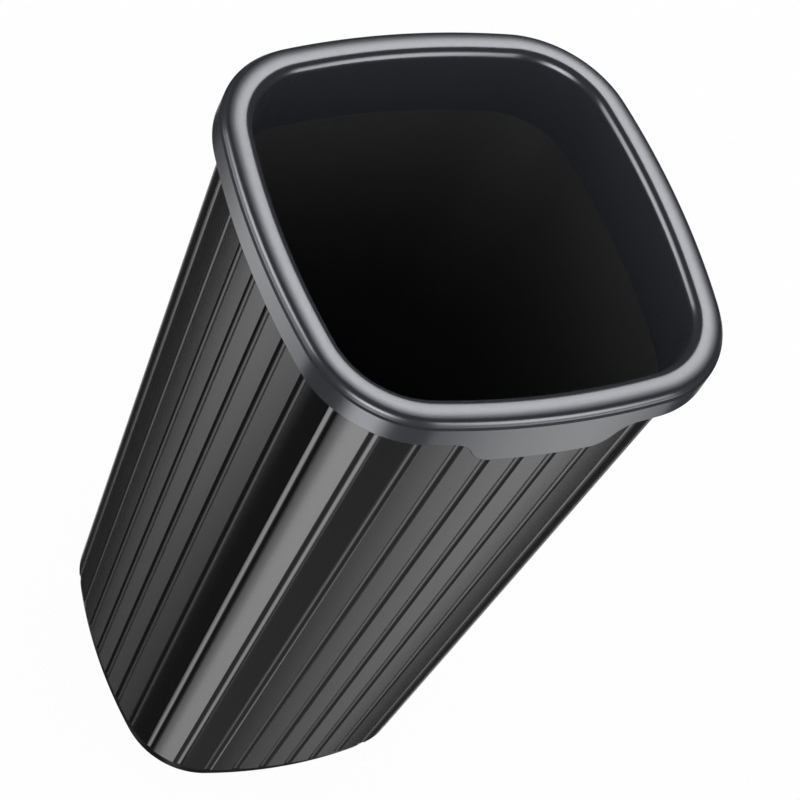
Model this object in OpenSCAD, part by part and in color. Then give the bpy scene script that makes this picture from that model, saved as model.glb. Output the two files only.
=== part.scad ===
// Car trash bin in two mouldings: a tapering fluted body and the rim ring that sits over its mouth.
// The bin stands on z = 0, centred on the Z axis, with the ring's tab at the front (-Y).
// Millimetres throughout.

/* [Overall] */
// Height from the floor to the crest of the ring
total_h = 197; // [150:1:240]

/* [Outline] */
// Half the width across the faces of the ring's outer skirt
ring_half = 56.9; // [52:0.1:64]
// Radius of the gentle bulge of each side of the ring
side_r = 207.5; // [150:0.5:320]
// Corner radius of the ring's outer skirt
corner_r = 28.6; // [24:0.1:36]
// Half the width of the body across its faces at the foot, as if the foot had no rounding
foot_half = 41.8; // [38:0.1:48]
// Radius of the side bulge at the foot
foot_side_r = 131.5; // [110:0.5:220]
// Corner radius at the foot
foot_corner_r = 21.6; // [18:0.1:26]

/* [Body] */
// Wall thickness
wall_t = 2; // [1.6:0.1:2.6]
// Thickness of the floor above the foot recess
floor_t = 2; // [1.5:0.1:3]
// Radius where the inside wall meets the floor
floor_r = 4; // [2:0.5:8]
// Rounding of the bottom outer edge
foot_r = 5.5; // [3.5:0.1:6.5]
// Width of the band that the body stands on
foot_w = 5; // [3:0.5:9]
// Depth of the recess inside that band
foot_recess = 1.2; // [0.5:0.1:2]
// How far the rim's lip stands out from the wall
lip_w = 1.2; // [0.8:0.1:1.5]
// Height of the rim's lip
lip_h = 2.4; // [1.6:0.1:4]
// Rounding of the lip's outer edges
lip_r = 0.4; // [0.2:0.05:0.6]

/* [Flutes] */
// Number of flutes around the body
flutes = 36; // [24:4:40]
// Width of one flute at the rim, over its rounded edges
flute_w = 2.9; // [2.4:0.1:3.4]
// Width of one flute at the foot, over its rounded edges
flute_foot_w = 2.6; // [2.2:0.1:3]
// Depth of one flute
flute_d = 0.37; // [0.3:0.01:0.5]
// Radius of the flute's two edges
flute_edge = 0.2; // [0.1:0.05:0.3]
// Height over which each flute runs out above the foot's rounding
flute_end = 1; // [0.6:0.1:2]

/* [Ring] */
// Step from the skirt's face in to the side of the bead
bead_step = 0.75; // [0.5:0.05:1]
// Width of the bead
bead_w = 7.2; // [6.6:0.1:7.6]
// Radius of the bead's crowned top
crown_r = 14.7; // [10:0.1:30]
// Rounding of the bead's outer edge
bead_out_r = 0.9; // [0.5:0.1:1.2]
// Rounding of the bead's inner edge
bead_in_r = 1.1; // [0.6:0.1:1.6]
// Drop from the crest to the ledge beside the bead
ledge_drop = 2.15; // [1.9:0.05:2.4]
// Thickness of material between the crest and the channel that takes the rim
roof_t = 2.6; // [2.2:0.1:3.4]
// Thickness of the outer skirt
skirt_t = 2; // [1.5:0.1:2.2]
// Drop from the crest to the skirt's lower edge
skirt_drop = 8.2; // [6.5:0.1:11]
// Rounding of the skirt's lower edges
skirt_edge = 0.3; // [0.1:0.05:0.5]
// Thickness of the sleeve inside the mouth, at its lower edge
sleeve_t = 1.4; // [1:0.1:1.6]
// Drop from the crest to the sleeve's lower edge
sleeve_drop = 21.1; // [14:0.1:30]
// Clearance between the sleeve's lower edge and the wall at the corners
sleeve_gap = 0.4; // [0.3:0.05:0.8]
// Fillet at the foot of the bead, on the ledge
fillet_r = 0.3; // [0.1:0.05:0.4]
// Clearance between the lip and the skirt
lip_gap = 0.4; // [0.3:0.05:0.8]

/* [Tab] */
// Drop from the crest to the tab's lower edge
tab_drop = 15; // [12:0.1:19]
// Width of the straight part of the tab's lower edge
tab_flat_w = 26; // [16:0.5:30]
// Width of the tab where it runs out into the skirt
tab_full_w = 49; // [40:0.5:56]

/* [Hidden] */
body_colour = [0.07, 0.07, 0.07];
ring_colour = [0.45, 0.46, 0.48];
// Steps in a small arc of a section, in the bead's crown, round a corner and along a side
arc_n = 4;
crown_n = 6;
corner_n = 11;
side_n = 8;
// Steps in each arc of the tab's S-curves
tab_n = 4;

// Heights
rim_z = total_h - roof_t;
skirt_z = total_h - skirt_drop;
tab_z = total_h - tab_drop;
sleeve_z = total_h - sleeve_drop;

// An outline is [half width, side radius, corner radius]: a rounded square whose sides bulge a little.
// Its side arcs and corner arcs are tangent, so an offset changes all three numbers alike.
ring_outline = [ring_half, side_r, corner_r];
rim_outline = inset(ring_outline, skirt_t + lip_gap + lip_w);
foot_outline = [foot_half, foot_side_r, foot_corner_r];
function inset(o, d) = [o[0] - d, o[1] - d, o[2] - d];
// How far the centre of a side arc lies behind the Z axis
function side_off(o) = o[1] - o[0];
// Distance of a corner arc's centre from both middle planes
function corner_off(o) = (sqrt(2 * pow(o[1] - o[2], 2) - pow(side_off(o), 2)) - side_off(o)) / 2;
// Half the angle that a side arc spans
function side_span(o) = atan2(corner_off(o), corner_off(o) + side_off(o));
// Distance from the Z axis to the outline across the corners
function reach(o) = sqrt(2) * corner_off(o) + o[2];
// Outline at one height of the wall's outer face, which runs straight from the foot to the rim
function wall_outline(z) = foot_outline + (rim_outline - foot_outline) * z / rim_z;

// Points of a circular arc, as [x, y]
function polar(a) = [cos(a), sin(a)];
function arc(c, r, a0, a1, n = arc_n) = [for (i = [0:n]) c + r * polar(a0 + (a1 - a0) * i / n)];

// Joins rows of points, each a closed loop of the same count, into one closed solid.
// The rows run once round when loop is true; otherwise each end closes on a point on the Z axis.
module loft(rows, loop = false) {
    m = len(rows);
    n = len(rows[0]);
    skin = [for (i = [0:loop ? m - 1 : m - 2], j = [0:n - 1])
        let (i2 = (i + 1) % m, j2 = (j + 1) % n)
        each [[i * n + j, i * n + j2, i2 * n + j2], [i * n + j, i2 * n + j2, i2 * n + j]]];
    ends = loop ? [] : [[0, 0, rows[0][0][2]], [0, 0, rows[m - 1][0][2]]];
    caps = loop ? [] : [for (j = [0:n - 1])
        let (j2 = (j + 1) % n)
        each [[m * n, j2, j], [m * n + 1, (m - 1) * n + j, (m - 1) * n + j2]]];
    polyhedron(concat([for (row = rows) each row], ends), concat(skin, caps));
}

// Ring section: x is 0 at the skirt's face and negative inwards, y is 0 at the crest.
shoulder_r = bead_step - fillet_r;
crown = [-bead_step - bead_w / 2, -crown_r];
lean_out = asin((bead_w / 2 - bead_out_r) / (crown_r - bead_out_r));
lean_in = asin((bead_w / 2 - bead_in_r) / (crown_r - bead_in_r));
bead_out = crown + (crown_r - bead_out_r) * [sin(lean_out), cos(lean_out)];
bead_in = crown + (crown_r - bead_in_r) * [-sin(lean_in), cos(lean_in)];
// The sleeve's outer face keeps clear of the wall, most closely at the corners.
sleeve_top = skirt_t + lip_gap + lip_w + wall_t + sleeve_gap;
sleeve_low = reach(ring_outline) - reach(wall_outline(sleeve_z)) + wall_t + sleeve_gap;
function ring_section(drop) = concat(
    [[-skirt_t, -drop + skirt_edge], [-skirt_t + skirt_edge, -drop]],
    arc([-skirt_edge, -drop + skirt_edge], skirt_edge, -90, 0, 2),
    arc([-shoulder_r, -ledge_drop - shoulder_r], shoulder_r, 0, 90),
    arc([-bead_step + fillet_r, -ledge_drop + fillet_r], fillet_r, 270, 180, 2),
    arc(bead_out, bead_out_r, 0, 90 - lean_out),
    [for (i = [1:crown_n - 1]) crown + crown_r * polar(90 - lean_out + (lean_out + lean_in) * i / crown_n)],
    arc(bead_in, bead_in_r, 90 + lean_in, 180),
    arc([-sleeve_low - sleeve_t + skirt_edge, -sleeve_drop + skirt_edge], skirt_edge, 180, 270, 2),
    [[-sleeve_low - skirt_edge, -sleeve_drop], [-sleeve_low, -sleeve_drop + skirt_edge]],
    [[-sleeve_top, -roof_t], [-skirt_t, -roof_t]]);

// Depth of the skirt's lower edge at a distance x from the middle of the front: an S-curve of two
// equal arcs carries the skirt down into the tab.
tab_run = (tab_full_w - tab_flat_w) / 2;
tab_fall = tab_drop - skirt_drop;
bend_r = (tab_run * tab_run + tab_fall * tab_fall) / (4 * tab_fall);
bend_a = asin(tab_run / 2 / bend_r);
function bend(u) = bend_r - sqrt(bend_r * bend_r - u * u);
function skirt_edge_drop(x) =
    let (u = abs(x) - tab_flat_w / 2)
    u <= 0 ? tab_drop :
    u >= tab_run ? skirt_drop :
    u < tab_run / 2 ? tab_drop - bend(u) : skirt_drop + bend(tab_run - u);

// Stations round the ring, as the angle of the outline's normal. The front has its own, which
// follow the tab's S-curves.
span = side_span(ring_outline);
bend_x = [for (i = [0:tab_n]) bend_r * sin(bend_a * i / tab_n)];
tab_x = concat([tab_flat_w / 4], [for (x = bend_x) tab_flat_w / 2 + x],
               [for (i = [tab_n - 1:-1:0]) tab_full_w / 2 - bend_x[i]]);
front = concat([for (i = [len(tab_x) - 1:-1:0]) -asin(tab_x[i] / side_r)], [0],
               [for (x = tab_x) asin(x / side_r)]);
stations = [for (quarter = [0:3]) each concat(
    quarter == 3 ? [for (a = front) 270 + a]
                 : [for (i = [1:side_n - 1]) quarter * 90 + span * (2 * i / side_n - 1)],
    [for (i = [0:corner_n]) quarter * 90 + span + (90 - 2 * span) * i / corner_n])];

// Point of the ring's outline whose outward normal has this angle
function ring_point(a) =
    let (q = 90 * round(a / 90), f = a - q, o = ring_outline,
         p = abs(f) < span ? [side_r * cos(f) - side_off(o), side_r * sin(f)]
                           : [corner_off(o) + corner_r * cos(f),
                              sign(f) * corner_off(o) + corner_r * sin(f)])
    [p[0] * cos(q) - p[1] * sin(q), p[0] * sin(q) + p[1] * cos(q)];

module bag_ring() color(ring_colour)
    loft([for (a = stations)
        let (p = ring_point(a), drop = a > 225 && a < 315 ? skirt_edge_drop(p[0]) : skirt_drop)
        [for (s = ring_section(drop))
            [p[0] + s[0] * cos(a), p[1] + s[0] * sin(a), total_h + s[1]]]], loop = true);

// Polar form of an outline: its radius and the angle of its normal at an angle about the Z axis
function fold(a) = abs(a - 90 * round(a / 90));
function on_side(o, a) =
    let (k = side_off(o)) -k * cos(a) + sqrt(pow(o[1], 2) - pow(k * sin(a), 2));
function on_corner(o, a) =
    let (c = corner_off(o), b = c * (cos(a) + sin(a))) b + sqrt(b * b - 2 * c * c + o[2] * o[2]);
function side_normal(o, a) =
    let (r = on_side(o, a)) atan2(r * sin(a), r * cos(a) + side_off(o));
function corner_normal(o, a) =
    let (r = on_corner(o, a), c = corner_off(o)) atan2(r * sin(a) - c, r * cos(a) - c);
function is_side(o, a) = side_normal(o, a) <= side_span(o);
function radius_at(o, a) = is_side(o, fold(a)) ? on_side(o, fold(a)) : on_corner(o, fold(a));
function normal_at(o, a) =
    let (q = 90 * round(a / 90), f = fold(a))
    q + sign(a - q) * (is_side(o, f) ? side_normal(o, f) : corner_normal(o, f));

// One flute across the wall at a height, as [distance from its middle, depth]: a round cove whose
// two edges are rounded over
function flute_section(z) =
    let (half = (flute_foot_w + (flute_w - flute_foot_w) * z / rim_z) / 2,
         lean = 2 * atan(flute_d / half),
         r = half / sin(lean) - flute_edge)
    [[-half, 0],
     for (t = [-1, -0.55, 0, 0.55, 1]) [r * sin(t * lean), flute_d - r * (1 - cos(t * lean))],
     [half, 0]];

// A level loop round the body, with the flutes at even angles about the Z axis. Where fluted is 0
// the loop is plain, with its points in the same places.
function body_loop(o, z, fluted = 0) = [
    for (k = [0:flutes - 1])
        let (a0 = 360 * k / flutes, r0 = radius_at(o, a0), lean = normal_at(o, a0) - a0)
        each concat(
            [for (s = flute_section(z))
                let (a = a0 + s[0] * cos(lean) / r0 * 180 / PI) wall_point(o, a, z, s[1] * fluted)],
            [wall_point(o, a0 + 180 / flutes, z, 0)])];
function wall_point(o, a, z, depth) =
    let (r = radius_at(o, a), n = normal_at(o, a))
    [r * cos(a) - depth * cos(n), r * sin(a) - depth * sin(n), z];

// Rows of the body, from the recess under the floor, up the outside, over the rim and down the inside
lip_z = rim_z - lip_h;
inside_z = foot_recess + floor_t;
flute_z = foot_r + flute_end;
lip_outline = inset(rim_outline, -lip_w);
module bin_body() color(body_colour)
    loft(concat(
        [body_loop(inset(foot_outline, foot_r + foot_w + foot_recess), foot_recess),
         body_loop(inset(foot_outline, foot_r + foot_w), 0)],
        [for (a = [0:30:90])
            let (z = foot_r * (1 - cos(a)))
            body_loop(inset(wall_outline(z), foot_r * (1 - sin(a))), z)],
        [body_loop(wall_outline(flute_z), flute_z, 1),
         body_loop(wall_outline(lip_z - lip_w / 2), lip_z - lip_w / 2, 1),
         body_loop(lip_outline, lip_z),
         body_loop(lip_outline, rim_z - lip_r),
         body_loop(inset(lip_outline, lip_r), rim_z),
         body_loop(inset(rim_outline, wall_t), rim_z)],
        [for (a = [0:45:90])
            let (z = inside_z + floor_r * (1 - sin(a)))
            body_loop(inset(wall_outline(z), wall_t + floor_r * (1 - cos(a))), z)]));

bin_body();
bag_ring();
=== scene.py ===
"""Car trash bin: a fluted, tapering body with a lift-off ring round its mouth."""

from __future__ import annotations

import logging
from collections.abc import Iterator, Sequence
from dataclasses import dataclass
from enum import Enum
from math import asin, atan2, cos, copysign, degrees, pi, radians, sin, sqrt, tan, tau

import bmesh
import bpy
from bmesh.types import BMEdge, BMesh, BMFace, BMVert
from bpy.types import NodeSocket
from mathutils import Matrix, Vector

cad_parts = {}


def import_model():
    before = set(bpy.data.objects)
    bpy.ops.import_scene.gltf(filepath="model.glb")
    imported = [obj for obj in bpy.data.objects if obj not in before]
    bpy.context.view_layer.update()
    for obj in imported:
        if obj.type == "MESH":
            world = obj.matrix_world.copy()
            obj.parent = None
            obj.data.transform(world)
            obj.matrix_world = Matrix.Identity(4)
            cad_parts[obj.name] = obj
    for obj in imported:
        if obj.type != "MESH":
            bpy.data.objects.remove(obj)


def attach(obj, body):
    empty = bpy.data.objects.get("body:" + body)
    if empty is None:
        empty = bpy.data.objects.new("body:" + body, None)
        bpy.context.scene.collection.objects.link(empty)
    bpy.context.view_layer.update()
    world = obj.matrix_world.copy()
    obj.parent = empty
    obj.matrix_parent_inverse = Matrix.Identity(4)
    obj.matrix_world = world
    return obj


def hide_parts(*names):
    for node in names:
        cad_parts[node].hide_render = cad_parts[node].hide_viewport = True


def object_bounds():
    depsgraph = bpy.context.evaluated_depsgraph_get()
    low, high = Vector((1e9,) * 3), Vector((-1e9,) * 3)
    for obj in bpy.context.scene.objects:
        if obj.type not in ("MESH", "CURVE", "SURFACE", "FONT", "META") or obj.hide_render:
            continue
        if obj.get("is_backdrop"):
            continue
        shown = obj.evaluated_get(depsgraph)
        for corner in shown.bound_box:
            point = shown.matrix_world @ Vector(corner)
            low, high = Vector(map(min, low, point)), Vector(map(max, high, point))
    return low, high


LOG = logging.getLogger("trash_bin")
MM = 0.001
WELD = MM / 500
SPECK = MM / 1000
Point2 = tuple[float, float]


class Body(Enum):
    """The moving bodies of the frame."""

    BIN = "bin"
    RING = "ring"


class Slot(Enum):
    """The record's material slots."""

    BODY = "body"
    RING = "ring"


@dataclass(frozen=True)
class Outline:
    """A rounded square with gently bulging sides, centred on the Z axis; sizes in metres."""

    half: float
    side_r: float
    corner_r: float

    @property
    def side_off(self) -> float:
        """Return how far the centre of a side's arc lies behind the Z axis."""
        return self.side_r - self.half

    @property
    def corner_off(self) -> float:
        """Return the distance of a corner arc's centre from both middle planes."""
        off = self.side_off
        return (sqrt(2 * (self.side_r - self.corner_r) ** 2 - off * off) - off) / 2

    @property
    def span(self) -> float:
        """Return half the angle that a side's arc spans."""
        return atan2(self.corner_off, self.corner_off + self.side_off)

    @property
    def reach(self) -> float:
        """Return the distance from the Z axis across a corner."""
        return sqrt(2) * self.corner_off + self.corner_r

    def inset(self, distance: float) -> Outline:
        """Return the outline moved inwards.

        Args:
            distance: How far it moves in; negative moves it out.

        Returns:
            The parallel outline.
        """
        return Outline(self.half - distance, self.side_r - distance, self.corner_r - distance)

    def toward(self, other: Outline, share: float) -> Outline:
        """Blend this outline with another.

        Args:
            other: The outline at a share of 1.
            share: How far to go towards it.

        Returns:
            The outline in between.
        """
        return Outline(
            self.half + (other.half - self.half) * share,
            self.side_r + (other.side_r - self.side_r) * share,
            self.corner_r + (other.corner_r - self.corner_r) * share,
        )

    def polar(self, angle: float) -> Point2:
        """Look the outline up at an angle about the Z axis.

        Args:
            angle: The angle from +X.

        Returns:
            The outline's radius there, and the angle of its outward normal.
        """
        quarter = pi / 2 * round(angle / (pi / 2))
        fold = abs(angle - quarter)
        off, corner = self.side_off, self.corner_off
        radius = -off * cos(fold) + sqrt(self.side_r**2 - (off * sin(fold)) ** 2)
        normal = atan2(radius * sin(fold), radius * cos(fold) + off)
        if normal > self.span:
            lead = corner * (cos(fold) + sin(fold))
            radius = lead + sqrt(lead * lead - 2 * corner * corner + self.corner_r**2)
            normal = atan2(radius * sin(fold) - corner, radius * cos(fold) - corner)
        return radius, quarter + copysign(normal, angle - quarter)


@dataclass(frozen=True)
class Level:
    """One level loop of the body: its outline and height, its share of the flutes, and its side."""

    outline: Outline
    z: float
    fluted: float = 0.0
    inside: bool = False


@dataclass(frozen=True)
class Column:
    """One upright line of the body: a place across a flute, or a share of the land after it."""

    flute: int
    place: float
    land: float = 0.0


def arc(centre: Point2, radius: float, start: float, end: float, steps: int) -> list[Point2]:
    """Lay points along a circular arc.

    Args:
        centre: The arc's centre.
        radius: Its radius.
        start: The angle of the first point, in degrees.
        end: The angle of the last point, in degrees.
        steps: How many chords it has.

    Returns:
        The points, both ends included.
    """
    turns = [radians(start + (end - start) * i / steps) for i in range(steps + 1)]
    return [(centre[0] + radius * cos(t), centre[1] + radius * sin(t)) for t in turns]


def finish_piece(bm: BMesh, name: str, sharp: float = 40.0) -> bpy.types.Object:
    """Turn a bmesh into a smooth-shaded object whose flat faces keep flat normals.

    Args:
        bm: The mesh, which is freed.
        name: The object's name.
        sharp: Edges that turn by more than this many degrees stay crisp.

    Returns:
        The new object, linked to the scene.
    """
    bmesh.ops.recalc_face_normals(bm, faces=bm.faces)
    mesh = bpy.data.meshes.new(name)
    bm.to_mesh(mesh)
    bm.free()
    mesh.shade_smooth()
    mesh.set_sharp_from_angle(angle=radians(sharp))
    piece = bpy.data.objects.new(name, mesh)
    bpy.context.scene.collection.objects.link(piece)
    weighted = piece.modifiers.new("even normals", "WEIGHTED_NORMAL")
    weighted.keep_sharp = True
    return piece


@dataclass
class FlutedBody:
    """The bin itself: a tapering rounded-square bucket with upright flutes."""

    rim: Outline
    foot: Outline
    rim_z: float
    wall_t: float = 2 * MM
    floor_t: float = 2 * MM
    floor_r: float = 4 * MM
    foot_r: float = 2 * MM
    foot_lean: float = 10.0
    foot_w: float = 5 * MM
    foot_recess: float = 1.2 * MM
    lip_w: float = 1.2 * MM
    lip_h: float = 2.4 * MM
    lip_r: float = 0.4 * MM
    flutes: int = 36
    flute_w: float = 2.9 * MM
    flute_foot_w: float = 2.6 * MM
    flute_d: float = 0.37 * MM
    flute_edge: float = 0.2 * MM
    plank_z: float = 5.5 * MM
    plank_end: float = 0.25 * MM
    cove_share: float = 0.65
    cove_steps: int = 5
    edge_steps: int = 4
    land_steps: int = 4
    wall_steps: int = 16
    round_steps: int = 8

    def wall(self, z: float) -> Outline:
        """Look up the wall's outer face.

        Args:
            z: The height above the foot.

        Returns:
            The outline there, without the flutes.
        """
        return self.foot.toward(self.rim, z / self.rim_z)

    def flute_point(self, place: float, z: float) -> Point2:
        """Look up one flute's section: a round cove with softly rounded edges.

        Args:
            place: Where across the flute, from -1 to 1; the cove ends at the cove share.
            z: The height, since the flutes narrow with the wall.

        Returns:
            The distance from the flute's middle, and the depth under the wall's face.
        """
        half = (self.flute_foot_w + (self.flute_w - self.flute_foot_w) * z / self.rim_z) / 2
        lean = 2 * atan2(self.flute_d, half)
        cove_r = half / sin(lean) - self.flute_edge
        side = abs(place)
        if side <= self.cove_share:
            turn = lean * side / self.cove_share
            across, depth = cove_r * sin(turn), self.flute_d - cove_r * (1 - cos(turn))
        else:
            turn = lean * (1 - side) / (1 - self.cove_share)
            across, depth = half - self.flute_edge * sin(turn), self.flute_edge * (1 - cos(turn))
        return copysign(across, place), depth

    def columns(self) -> list[Column]:
        """List the body's upright lines.

        Returns:
            The lines, once round from the flute on +X.
        """
        cove = [self.cove_share * i / self.cove_steps for i in range(self.cove_steps)]
        rise = 1 - self.cove_share
        edge = [self.cove_share + rise * i / self.edge_steps for i in range(self.edge_steps + 1)]
        half = cove + edge
        places = [-place for place in reversed(half[1:])] + half
        made = []
        for flute in range(self.flutes):
            made += [Column(flute, place) for place in places]
            made += [Column(flute, 1, i / self.land_steps) for i in range(1, self.land_steps)]
        return made

    def flute_angle(self, outline: Outline, flute: int, across: float) -> float:
        """Turn a distance along the wall into an angle about the Z axis.

        Args:
            outline: The wall's outline at that height.
            flute: The flute's number.
            across: The distance from the flute's middle.

        Returns:
            The angle from +X.
        """
        middle = tau * flute / self.flutes
        radius, normal = outline.polar(middle)
        return middle + across * cos(normal - middle) / radius

    def point(self, level: Level, column: Column) -> Vector:
        """Place the point where an upright line crosses a level.

        Args:
            level: The level loop.
            column: The upright line.

        Returns:
            The point, in metres.
        """
        outline = level.outline
        across, depth = self.flute_point(column.place, level.z)
        angle = self.flute_angle(outline, column.flute, across)
        if column.land:
            end = self.flute_angle(outline, column.flute + 1, -across)
            angle += (end - angle) * column.land
        radius, normal = outline.polar(angle)
        depth *= level.fluted
        return Vector((
            radius * cos(angle) - depth * cos(normal),
            radius * sin(angle) - depth * sin(normal),
            level.z,
        ))

    def levels(self) -> Iterator[Level]:
        """List the level loops: the foot's band, up the outside, over the lip and down the inside.

        Yields:
            The loops in order, from the recess underneath to the floor.
        """
        lean = radians(self.foot_lean)
        cone = (self.plank_z - self.foot_r * (1 - sin(lean))) * tan(lean)
        under = self.flute_d + cone + self.foot_r * cos(lean) + self.foot_w
        yield Level(self.foot.inset(under + self.foot_recess), self.foot_recess)
        yield Level(self.foot.inset(under), 0)
        for i in range(self.round_steps + 1):
            turn = (pi / 2 - lean) * i / self.round_steps
            z = self.foot_r * (1 - cos(turn))
            inset = self.flute_d + cone + self.foot_r * (cos(lean) - sin(turn))
            yield Level(self.wall(z).inset(inset), z)
        for i in range(self.edge_steps):
            turn = pi / 2 * i / self.edge_steps
            z, share = self.plank_z + self.plank_end * (1 - cos(turn)), sin(turn)
            yield Level(self.wall(z).inset(self.flute_d * (1 - share)), z, share)
        lip_z = self.rim_z - self.lip_h
        low, top = self.plank_z + self.plank_end, lip_z - self.lip_w / 2
        for i in range(self.wall_steps + 1):
            z = low + (top - low) * i / self.wall_steps
            yield Level(self.wall(z), z, 1)
        lip = self.rim.inset(-self.lip_w)
        yield Level(lip, lip_z)
        for x, y in arc((-self.lip_r, -self.lip_r), self.lip_r, 0, 90, self.round_steps):
            yield Level(lip.inset(-x), self.rim_z + y)
        yield Level(self.rim.inset(self.wall_t), self.rim_z, inside=True)
        inside = self.foot_recess + self.floor_t
        bottom = inside + self.floor_r
        for i in range(1, self.wall_steps):
            z = self.rim_z + (bottom - self.rim_z) * i / self.wall_steps
            yield Level(self.wall(z).inset(self.wall_t), z, inside=True)
        for i in range(self.round_steps + 1):
            turn = pi / 2 * i / self.round_steps
            z = inside + self.floor_r * (1 - sin(turn))
            inset = self.wall_t + self.floor_r * (1 - cos(turn))
            yield Level(self.wall(z).inset(inset), z, inside=True)

    def build(self) -> bpy.types.Object:
        """Raise the body from a disc under its foot; its inside takes the second finish, the black
        painted lighter to make up for the shade inside the bin.

        Returns:
            The body's object.
        """
        columns = self.columns()
        bm = bmesh.new()
        mark = bm.verts.layers.int.new("column")
        disc = bmesh.ops.create_circle(bm, segments=len(columns), radius=self.foot.half)
        loop = disc["verts"]
        for number, vert in enumerate(sorted(loop, key=lambda v: atan2(v.co.y, v.co.x) % tau)):
            vert[mark] = number
        edges = list(bm.edges)
        base = list(edges)
        for step, level in enumerate(self.levels()):
            if step:
                made = bmesh.ops.extrude_edge_only(bm, edges=edges)["geom"]
                loop = [g for g in made if isinstance(g, BMVert)]
                edges = [g for g in made if isinstance(g, BMEdge)]
                for face in (g for g in made if isinstance(g, BMFace)):
                    # Faces inside the bin take the second material: the same black, painted lighter
                    # against the shade that falls inside.
                    face.material_index = int(level.inside)
            for vert in loop:
                vert.co = self.point(level, columns[vert[mark]])
        for side, rim in enumerate((base, edges)):
            height = self.foot_recess + self.floor_t * side
            made = bmesh.ops.extrude_edge_only(bm, edges=rim)["geom"]
            for face in (g for g in made if isinstance(g, BMFace)):
                # The inner floor (side 1) also takes the black painted lighter against the shade
                # inside the bin.
                face.material_index = side
            ends = [g for g in made if isinstance(g, BMVert)]
            bmesh.ops.pointmerge(bm, verts=ends, merge_co=(0, 0, height))
        bmesh.ops.dissolve_degenerate(bm, dist=SPECK, edges=bm.edges)
        return finish_piece(bm, "fluted_body")


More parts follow.
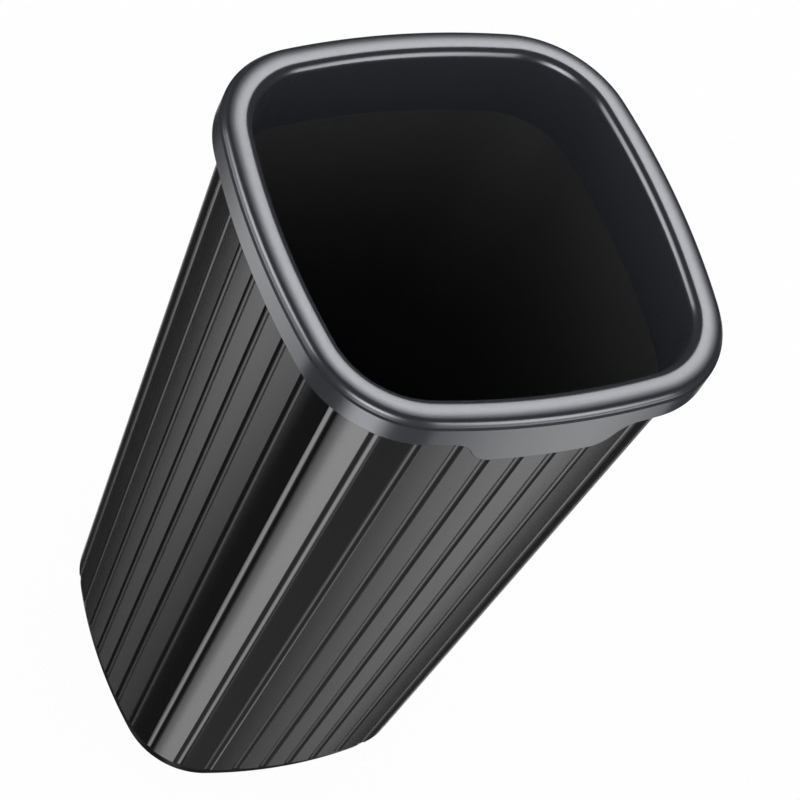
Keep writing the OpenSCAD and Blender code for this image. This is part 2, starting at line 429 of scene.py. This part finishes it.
@dataclass
class RimRing:
    """The ring over the mouth: a crowned bead, a stepped skirt with a tab, and an inner sleeve."""

    outline: Outline
    crest_z: float
    body: FlutedBody
    bead_step: float = 0.5 * MM
    bead_w: float = 7.5 * MM
    crown_r: float = 16.5 * MM
    bead_out_r: float = 1.7 * MM
    bead_in_r: float = 2.4 * MM
    ledge_drop: float = 2.2 * MM
    ledge_rise: float = 0.3 * MM
    roof_t: float = 2.6 * MM
    skirt_t: float = 2 * MM
    skirt_drop: float = 8.2 * MM
    skirt_edge: float = 0.3 * MM
    sleeve_t: float = 1.4 * MM
    sleeve_drop: float = 21.1 * MM
    sleeve_gap: float = 0.4 * MM
    lip_gap: float = 0.4 * MM
    tab_drop: float = 15 * MM
    tab_flat_w: float = 26 * MM
    tab_full_w: float = 49 * MM
    tab_slack: float = 0.01 * MM
    side_steps: int = 72
    corner_steps: int = 36
    bead_steps: int = 14
    skirt_steps: tuple[int, int] = (3, 6)
    sleeve_steps: int = 4

    def section(self) -> list[Point2]:
        """Work out the ring's section.

        Returns:
            Points as distance outwards from the skirt's face and height above the crest.
        """
        skirt, edge, drop = -self.skirt_t, self.skirt_edge, -self.skirt_drop
        crown_x, crown_y = -self.bead_step - self.bead_w / 2, -self.crown_r
        out_reach, in_reach = self.crown_r - self.bead_out_r, self.crown_r - self.bead_in_r
        lean_out = asin((self.bead_w / 2 - self.bead_out_r) / out_reach)
        lean_in = asin((self.bead_w / 2 - self.bead_in_r) / in_reach)
        bead_out = (crown_x + out_reach * sin(lean_out), crown_y + out_reach * cos(lean_out))
        bead_in = (crown_x - in_reach * sin(lean_in), crown_y + in_reach * cos(lean_in))
        top_turn, in_turn = 90 - degrees(lean_out), 90 + degrees(lean_in)
        top = self.skirt_t + self.lip_gap + self.body.lip_w + self.body.wall_t + self.sleeve_gap
        low_outline = self.body.wall(self.crest_z - self.sleeve_drop)
        low = self.outline.reach - low_outline.reach + self.body.wall_t + self.sleeve_gap
        low_in, foot = -low - self.sleeve_t, -self.sleeve_drop
        ledge_y = self.ledge_rise - self.ledge_drop
        flank = degrees(asin((ledge_y - bead_out[1]) / self.bead_out_r))
        inner_steps, outer_steps = self.skirt_steps
        return [
            *arc((skirt + edge, drop + edge), edge, 180, 270, inner_steps),
            *arc((-edge, drop + edge), edge, -90, 0, outer_steps),
            (0, -self.ledge_drop),
            *arc(bead_out, self.bead_out_r, flank, top_turn, self.bead_steps),
            *arc((crown_x, crown_y), self.crown_r, top_turn, in_turn, self.bead_steps)[1:-1],
            *arc(bead_in, self.bead_in_r, in_turn, 180, self.bead_steps),
            *arc((low_in + edge, foot + edge), edge, 180, 270, self.sleeve_steps),
            *arc((-low - edge, foot + edge), edge, -90, 0, self.sleeve_steps),
            (-top, -self.roof_t),
            (skirt, -self.roof_t),
        ]

    def tab_fall(self, x: float) -> float:
        """Work out how far the tab brings the skirt's edge down.

        Args:
            x: The distance from the middle of the front.

        Returns:
            The fall; the edge follows an S-curve of two equal arcs.
        """
        run = (self.tab_full_w - self.tab_flat_w) / 2
        fall = self.tab_drop - self.skirt_drop
        bend_r = (run * run + fall * fall) / (4 * fall)
        out = min(max(abs(x) - self.tab_flat_w / 2, 0), run)
        near = min(out, run - out)
        bend = bend_r - sqrt(bend_r * bend_r - near * near)
        return fall - bend if out < run / 2 else bend

    def drop_tab(self, bm: BMesh) -> None:
        """Bring the skirt's lower edge down into the tab at the front.

        Args:
            bm: The swept ring.
        """
        low = self.crest_z - self.skirt_drop + self.skirt_edge + self.tab_slack
        clear_of_sleeve = 3 * self.skirt_t - self.outline.half
        for vert in bm.verts:
            x, y, z = vert.co
            if z < low and y < clear_of_sleeve and abs(x) < self.tab_full_w / 2:
                vert.co.z -= self.tab_fall(x)

    def build(self) -> bpy.types.Object:
        """Spin the section along the eight arcs of the outline, then form the tab.

        Returns:
            The ring's object.
        """
        bm = bmesh.new()
        start = self.outline.span
        normal = Vector((cos(-start), sin(-start), 0))
        foot = Vector((-self.outline.side_off, 0, self.crest_z)) + self.outline.side_r * normal
        verts = [bm.verts.new(foot + normal * x + Vector((0, 0, z))) for x, z in self.section()]
        edges = [bm.edges.new((a, b)) for a, b in zip(verts, verts[1:] + verts[:1])]
        chain: Sequence[BMVert | BMEdge] = [*verts, *edges]
        for quarter in range(4):
            turn = Matrix.Rotation(pi / 2 * quarter, 3, "Z")
            side = turn @ Vector((-self.outline.side_off, 0, 0))
            corner = turn @ Vector((self.outline.corner_off, self.outline.corner_off, 0))
            for centre, angle, steps in (
                (side, 2 * start, self.side_steps),
                (corner, pi / 2 - 2 * start, self.corner_steps),
            ):
                chain = bmesh.ops.spin(
                    bm, geom=chain, cent=centre, axis=(0, 0, 1), angle=angle, steps=steps
                )["geom_last"]
        bmesh.ops.remove_doubles(bm, verts=bm.verts, dist=WELD)
        self.drop_tab(bm)
        return finish_piece(bm, "rim_ring")


@dataclass(frozen=True)
class SatinPlastic:
    """A moulded plastic with a satin sheen and a fine spark-eroded grain."""

    name: str
    slot: Slot
    colour: tuple[float, float, float]
    roughness: float
    grain: float
    bump: float
    sheen: tuple[float, float, float] = (1.0, 1.0, 1.0)

    def build(self, grain_group: bpy.types.ShaderNodeTree) -> bpy.types.Material:
        """Make the material.

        Args:
            grain_group: The shared grain effect.

        Returns:
            The material.
        """
        material = bpy.data.materials.new(self.name)
        material.use_nodes = True
        nodes, links = material.node_tree.nodes, material.node_tree.links
        shader = nodes["Principled BSDF"]
        shader.inputs["Specular Tint"].default_value = (*self.sheen, 1)
        place = nodes.new("ShaderNodeTexCoord")
        grain = nodes.new("ShaderNodeGroup")
        grain.node_tree = grain_group
        grain.inputs["Colour"].default_value = (*self.colour, 1)
        grain.inputs["Roughness"].default_value = self.roughness
        grain.inputs["Grain Size"].default_value = self.grain
        bump = nodes.new("ShaderNodeBump")
        bump.inputs["Strength"].default_value = 1.0
        bump.inputs["Distance"].default_value = self.bump
        links.new(place.outputs["Object"], grain.inputs["Vector"])
        links.new(grain.outputs["Colour"], shader.inputs["Base Color"])
        links.new(grain.outputs["Roughness"], shader.inputs["Roughness"])
        links.new(grain.outputs["Height"], bump.inputs["Height"])
        links.new(bump.outputs["Normal"], shader.inputs["Normal"])
        return material


@dataclass(frozen=True)
class MouldedGrain:
    """The fine grain that a spark-eroded mould leaves on plastic: close pits, and a wide cloud."""

    pit_detail: float = 2.0
    pit_range: Point2 = (0.3, 0.7)
    pit_rough: float = 0.04
    pit_shade: float = 0.08
    cloud_scale: float = 60.0
    cloud_detail: float = 3.0
    cloud_rough: float = 0.01

    def build(self) -> bpy.types.ShaderNodeTree:
        """Build the effect, which the finishes share.

        Returns:
            The node group, with a colour, a roughness and a height that vary over the surface.
        """
        group = bpy.data.node_groups.new("moulded grain", "ShaderNodeTree")
        for way, name, kind in (
            ("INPUT", "Vector", "NodeSocketVector"),
            ("INPUT", "Colour", "NodeSocketColor"),
            ("INPUT", "Roughness", "NodeSocketFloat"),
            ("INPUT", "Grain Size", "NodeSocketFloat"),
            ("OUTPUT", "Colour", "NodeSocketColor"),
            ("OUTPUT", "Roughness", "NodeSocketFloat"),
            ("OUTPUT", "Height", "NodeSocketFloat"),
        ):
            group.interface.new_socket(name=name, in_out=way, socket_type=kind)
        given = group.nodes.new("NodeGroupInput").outputs
        out = group.nodes.new("NodeGroupOutput").inputs
        pit_scale = math_node(group, "DIVIDE", 1.0, given["Grain Size"])
        pits = noise(group, given["Vector"], pit_scale, self.pit_detail)
        cloud = noise(group, given["Vector"], self.cloud_scale, self.cloud_detail)
        haze = map_range(group, cloud, (0, 1), (-self.cloud_rough, self.cloud_rough))
        speck = map_range(group, pits, self.pit_range, (-self.pit_rough, self.pit_rough))
        rough = math_node(group, "ADD", given["Roughness"], haze)
        rough = math_node(group, "ADD", rough, speck)
        shade = map_range(group, pits, (0, 1), (1 - self.pit_shade, 1 + self.pit_shade))
        tint = group.nodes.new("ShaderNodeVectorMath")
        tint.operation = "SCALE"
        group.links.new(given["Colour"], tint.inputs[0])
        group.links.new(shade, tint.inputs["Scale"])
        group.links.new(tint.outputs["Vector"], out["Colour"])
        group.links.new(rough, out["Roughness"])
        group.links.new(pits, out["Height"])
        return group


@dataclass(frozen=True)
class PhotoCamera:
    """The photograph's camera: it turns about the target, in radians, then slides across its view."""

    target: tuple[float, float, float]
    azimuth: float = -0.7838
    elevation: float = 0.8707
    roll: float = 0.5317
    distance: float = 0.8006
    slide: Point2 = (6.19 * MM, -45.73 * MM)
    lens: float = 154.1
    sensor: float = 36.0
    far: float = 20.0

    def build(self) -> bpy.types.Object:
        """Place the camera and make it the scene's.

        Returns:
            The camera's object.
        """
        level = Vector((cos(self.azimuth), sin(self.azimuth), 0))
        back = Vector((
            sin(self.azimuth) * cos(self.elevation),
            -cos(self.azimuth) * cos(self.elevation),
            sin(self.elevation),
        ))
        up = back.cross(level)
        right = cos(self.roll) * level + sin(self.roll) * up
        rise = cos(self.roll) * up - sin(self.roll) * level
        place = Vector(self.target) + level * self.slide[0] + up * self.slide[1]
        place += back * self.distance
        data = bpy.data.cameras.new("camera")
        data.lens = self.lens
        data.sensor_width = self.sensor
        data.clip_end = self.far
        camera = bpy.data.objects.new("camera", data)
        axes = Matrix((right, rise, back)).transposed().to_4x4()
        camera.matrix_world = Matrix.Translation(place) @ axes
        bpy.context.scene.collection.objects.link(camera)
        bpy.context.scene.camera = camera
        return camera


@dataclass(frozen=True)
class StripBox:
    """A soft upright strip of light in the surround, as the gloss shows it; angles are in degrees.

    Its levels pair elevations with strengths, between which the strength runs evenly.
    """

    azimuth: float
    half_width: float
    levels: tuple[Point2, ...]
    feather: float = 10.0
    lean: float = 0.0

    def build(self, tree: bpy.types.ShaderNodeTree, turn: NodeSocket, lift: NodeSocket) -> NodeSocket:
        """Add the strip to the surround.

        Args:
            tree: The world's nodes.
            turn: The azimuth of a direction, in radians.
            lift: Its elevation, in radians.

        Returns:
            The strip's strength in that direction.
        """
        middle = math_node(tree, "MULTIPLY_ADD", lift, self.lean, radians(self.azimuth))
        away = math_node(tree, "SUBTRACT", turn, middle)
        away = math_node(tree, "WRAP", away, pi, -pi)
        away = math_node(tree, "ABSOLUTE", away)
        across = fade(tree, away, self.half_width, self.feather)
        ramp = tree.nodes.new("ShaderNodeValToRGB")
        tree.links.new(math_node(tree, "MULTIPLY_ADD", lift, 1 / pi, 0.5), ramp.inputs["Fac"])
        stops = ramp.color_ramp.elements
        stops.remove(stops[1])
        for elevation, level in self.levels:
            place = elevation / 180 + 0.5
            stop = stops.new(place)
            stop.color = (level, level, level, 1)
        stops.remove(stops[0])
        return math_node(tree, "MULTIPLY", across, ramp.outputs["Color"])


@dataclass(frozen=True)
class RoundBox:
    """A soft round light of the surround, as the gloss shows it; angles are in degrees."""

    azimuth: float
    elevation: float
    radius: float
    feather: float
    level: float
    squeeze: float = 0.79

    def build(self, tree: bpy.types.ShaderNodeTree, turn: NodeSocket, lift: NodeSocket) -> NodeSocket:
        """Add the light to the surround.

        Args:
            tree: The world's nodes.
            turn: The azimuth of a direction, in radians.
            lift: Its elevation, in radians.

        Returns:
            The light's strength in that direction.
        """
        across = math_node(tree, "SUBTRACT", turn, radians(self.azimuth))
        across = math_node(tree, "MULTIPLY", across, self.squeeze)
        rise = math_node(tree, "SUBTRACT", lift, radians(self.elevation))
        away = math_node(tree, "MULTIPLY", across, across)
        away = math_node(tree, "MULTIPLY_ADD", rise, rise, away)
        away = math_node(tree, "SQRT", away)
        glow = fade(tree, away, self.radius, self.feather)
        return math_node(tree, "MULTIPLY", glow, self.level)


def feed(tree: bpy.types.ShaderNodeTree, socket: NodeSocket, value: NodeSocket | float) -> None:
    """Give an input its value.

    Args:
        tree: The node tree.
        socket: The input.
        value: A socket to link, or a number.
    """
    if isinstance(value, NodeSocket):
        tree.links.new(value, socket)
    else:
        socket.default_value = value


def noise(
    tree: bpy.types.ShaderNodeTree, place: NodeSocket, scale: NodeSocket | float, detail: float
) -> NodeSocket:
    """Add a noise to a node tree.

    Args:
        tree: The node tree.
        place: Where it is looked up.
        scale: How many of its lumps there are to a metre.
        detail: How many octaves it has.

    Returns:
        The noise, about 0.5 on average.
    """
    node = tree.nodes.new("ShaderNodeTexNoise")
    feed(tree, node.inputs["Vector"], place)
    feed(tree, node.inputs["Scale"], scale)
    feed(tree, node.inputs["Detail"], detail)
    return node.outputs["Fac"]


def map_range(
    tree: bpy.types.ShaderNodeTree,
    value: NodeSocket,
    taken: Point2,
    given: Point2 = (0.0, 1.0),
    run: str = "LINEAR",
) -> NodeSocket:
    """Map a range of values onto another, clamped at both ends.

    Args:
        tree: The node tree.
        value: The value that is mapped.
        taken: The range that it is read over.
        given: The range that comes out.
        run: The interpolation between the ends.

    Returns:
        The mapped value.
    """
    node = tree.nodes.new("ShaderNodeMapRange")
    node.interpolation_type = run
    for label, ends in (("From", taken), ("To", given)):
        node.inputs[f"{label} Min"].default_value = ends[0]
        node.inputs[f"{label} Max"].default_value = ends[1]
    tree.links.new(value, node.inputs["Value"])
    return node.outputs["Result"]


def math_node(
    tree: bpy.types.ShaderNodeTree, operation: str, *values: NodeSocket | float
) -> NodeSocket:
    """Add one sum to a node tree.

    Args:
        tree: The node tree.
        operation: The Math node's operation.
        values: Its inputs, as sockets to link or as numbers.

    Returns:
        The sum's result.
    """
    node = tree.nodes.new("ShaderNodeMath")
    node.operation = operation
    for socket, value in zip(node.inputs, values):
        feed(tree, socket, value)
    return node.outputs[0]


def fade(
    tree: bpy.types.ShaderNodeTree, angle: NodeSocket, edge: float, feather: float
) -> NodeSocket:
    """Add a soft step to a node tree, down from 1 to 0 as an angle grows.

    Args:
        tree: The node tree.
        angle: What the step follows, in radians.
        edge: Where it stands, in degrees.
        feather: How far it eases to both sides, in degrees.

    Returns:
        The step's result.
    """
    falling = math_node(tree, "MULTIPLY", angle, -1.0)
    taken = radians(-edge - feather), radians(-edge + feather)
    return map_range(tree, falling, taken, run="SMOOTHSTEP")


@dataclass
class Studio:
    """A plain white floor and an even white surround, with lights that show in the gloss only."""

    lights: Sequence[StripBox | RoundBox]
    paper_white: float = 0.9
    floor_size: float = 8.0
    side_level: float = 1.8
    top_level: float = 0.4
    gloss_level: float = 0.03
    floor_white: float = 0.97

    def floor(self) -> bpy.types.Object:
        """Lay the floor, which the camera sees as white with a faint shadow.

        Returns:
            The floor's object.
        """
        bm = bmesh.new()
        bmesh.ops.create_grid(bm, x_segments=1, y_segments=1, size=self.floor_size / 2)
        mesh = bpy.data.meshes.new("floor")
        bm.to_mesh(mesh)
        bm.free()
        floor = bpy.data.objects.new("floor", mesh)
        bpy.context.scene.collection.objects.link(floor)
        material = bpy.data.materials.new("studio floor")
        material.use_nodes = True
        tree = material.node_tree
        tree.nodes.clear()
        paper = tree.nodes.new("ShaderNodeBsdfDiffuse")
        paper.inputs["Color"].default_value = (self.paper_white,) * 3 + (1,)
        glow = tree.nodes.new("ShaderNodeEmission")
        glow.inputs["Color"].default_value = (1, 1, 1, 1)
        glow.inputs["Strength"].default_value = 1.0
        path = tree.nodes.new("ShaderNodeLightPath")
        seen = math_node(tree, "MAXIMUM", path.outputs["Is Camera Ray"], path.outputs["Is Glossy Ray"])
        seen = math_node(tree, "MAXIMUM", seen, path.outputs["Is Transmission Ray"])
        share = math_node(tree, "MULTIPLY", seen, self.floor_white)
        mix = tree.nodes.new("ShaderNodeMixShader")
        out = tree.nodes.new("ShaderNodeOutputMaterial")
        tree.links.new(share, mix.inputs["Fac"])
        tree.links.new(paper.outputs[0], mix.inputs[1])
        tree.links.new(glow.outputs[0], mix.inputs[2])
        tree.links.new(mix.outputs[0], out.inputs["Surface"])
        mesh.materials.append(material)
        floor.visible_glossy = False
        floor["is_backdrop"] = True
        return floor

    def surround(self) -> bpy.types.World:
        """Set the surround: plain white, with the lights for the reflections.

        Returns:
            The world.
        """
        world = bpy.data.worlds.new("surround")
        bpy.context.scene.world = world
        world.use_nodes = True
        tree = world.node_tree
        place = tree.nodes.new("ShaderNodeTexCoord")
        axes = tree.nodes.new("ShaderNodeSeparateXYZ")
        tree.links.new(place.outputs["Generated"], axes.inputs[0])
        turn = math_node(tree, "ARCTAN2", axes.outputs["Y"], axes.outputs["X"])
        lift = math_node(tree, "ARCSINE", axes.outputs["Z"])
        glow: NodeSocket | float = self.gloss_level
        for light in self.lights:
            glow = math_node(tree, "ADD", glow, light.build(tree, turn, lift))
        path = tree.nodes.new("ShaderNodeLightPath")
        drop = self.top_level - self.side_level
        plain = math_node(tree, "MULTIPLY_ADD", axes.outputs["Z"], drop, self.side_level)
        white = math_node(
            tree, "MAXIMUM", path.outputs["Is Camera Ray"], path.outputs["Is Transmission Ray"]
        )
        other = math_node(tree, "SUBTRACT", 1.0, white)
        other = math_node(tree, "SUBTRACT", other, path.outputs["Is Glossy Ray"])
        plain = math_node(tree, "MULTIPLY", plain, other)
        level = math_node(tree, "MULTIPLY_ADD", glow, path.outputs["Is Glossy Ray"], plain)
        level = math_node(tree, "ADD", level, white)
        sky = tree.nodes["Background"]
        sky.inputs["Color"].default_value = (1, 1, 1, 1)
        tree.links.new(level, sky.inputs["Strength"])
        return world

    def build(self) -> None:
        """Set up the floor and the surround."""
        self.floor()
        self.surround()
        LOG.info("studio with %d lights", len(self.lights))


def studio_lights() -> tuple[StripBox | RoundBox, ...]:
    """List the lights that the gloss shows.

    Returns:
        Three tall strips, an upper strip over two of them, a fill at the front, a strip at the
        rear, and two round lights over the rear corner.
    """
    upper = ((0, 0), (8, 11), (34, 11), (46, 0))
    return (
        StripBox(230.7, 18, (
            (-77, 0), (-69, 1.4), (-63, 2.5), (-59, 3.5), (-51, 5.6), (-44, 6.2), (-30, 3.5), (0, 3),
            (8, 14), (34, 14), (46, 0),
        )),
        StripBox(153, 15.5, (
            (-80, 0), (-70, 0.2), (-60, 0.22), (-58, 0.36), (-55, 0.76), (-52, 1.45), (-49, 2.45),
            (-43, 4.2), (-36, 3.4), (-20, 2.5), (0, 2.5), (6, 0),
        ), lean=0.3),
        StripBox(295.3, 16.5, (
            (-72, 0), (-63, 0.25), (-60, 0.44), (-55, 0.95), (-49, 1.9), (-43, 3), (-36, 3.4),
            (-20, 2.5), (0, 2.5), (6, 0),
        ), lean=-0.45),
        StripBox(149, 13, upper, feather=8),
        StripBox(301, 13, upper, feather=8),
        StripBox(272, 28, ((-90, 0.15), (-20, 0.15), (0, 0)), feather=15),
        StripBox(45, 20, ((-80, 0), (-60, 1.2), (-25, 1.2), (-12, 0))),
        RoundBox(45, 49, radius=12, feather=4.5, level=9.6),
        RoundBox(45, 53.5, radius=5.5, feather=8, level=4.2),
    )


def main() -> None:
    """Build the dressed bin, its studio and the camera."""
    logging.basicConfig(level=logging.INFO, format="%(name)s: %(message)s")
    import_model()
    cad_low, cad_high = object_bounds()
    crest = cad_high.z
    ring_outline = Outline(56.9 * MM, 207.5 * MM, 28.6 * MM)
    foot_outline = Outline(41.8 * MM, 131.5 * MM, 21.6 * MM)
    rim_outline = ring_outline.inset(RimRing.skirt_t + RimRing.lip_gap + FlutedBody.lip_w)
    bpy.context.scene.view_settings.view_transform = "Standard"
    PhotoCamera(target=(0, 0, crest)).build()

    body = FlutedBody(rim_outline, foot_outline, rim_z=crest - RimRing.roof_t)
    ring = RimRing(ring_outline, crest, body)
    grain = MouldedGrain().build()
    black = SatinPlastic(
        "black satin plastic", Slot.BODY, (0.005, 0.005, 0.0055), 0.17, 0.35 * MM, 0.005 * MM
    )
    # The same black plastic, rougher and painted about seven times lighter: painted light standing in
    # for the light that the shade inside the bin takes away.
    matte_painted_lighter_inside = SatinPlastic(
        "matte black inside, painted lighter", Slot.BODY, (0.036, 0.036, 0.037), 0.4, 0.35 * MM, 0.008 * MM
    )
    grey = SatinPlastic(
        "grey satin plastic", Slot.RING, (0.030, 0.0325, 0.038), 0.22, 0.3 * MM, 0.005 * MM,
        (0.93, 0.94, 1.0),
    )
    for build, finishes, carrier, node in (
        (body.build, (black, matte_painted_lighter_inside), Body.BIN, "bin_body"),
        (ring.build, (grey,), Body.RING, "bag_ring"),
    ):
        piece = build()
        for finish in finishes:
            piece.data.materials.append(finish.build(grain))
        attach(piece, carrier.value)
        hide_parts(node)
        LOG.info("%s: %d faces, %s", piece.name, len(piece.data.polygons), finishes[0].name)

    Studio(studio_lights()).build()


if __name__ == "__main__":
    main()
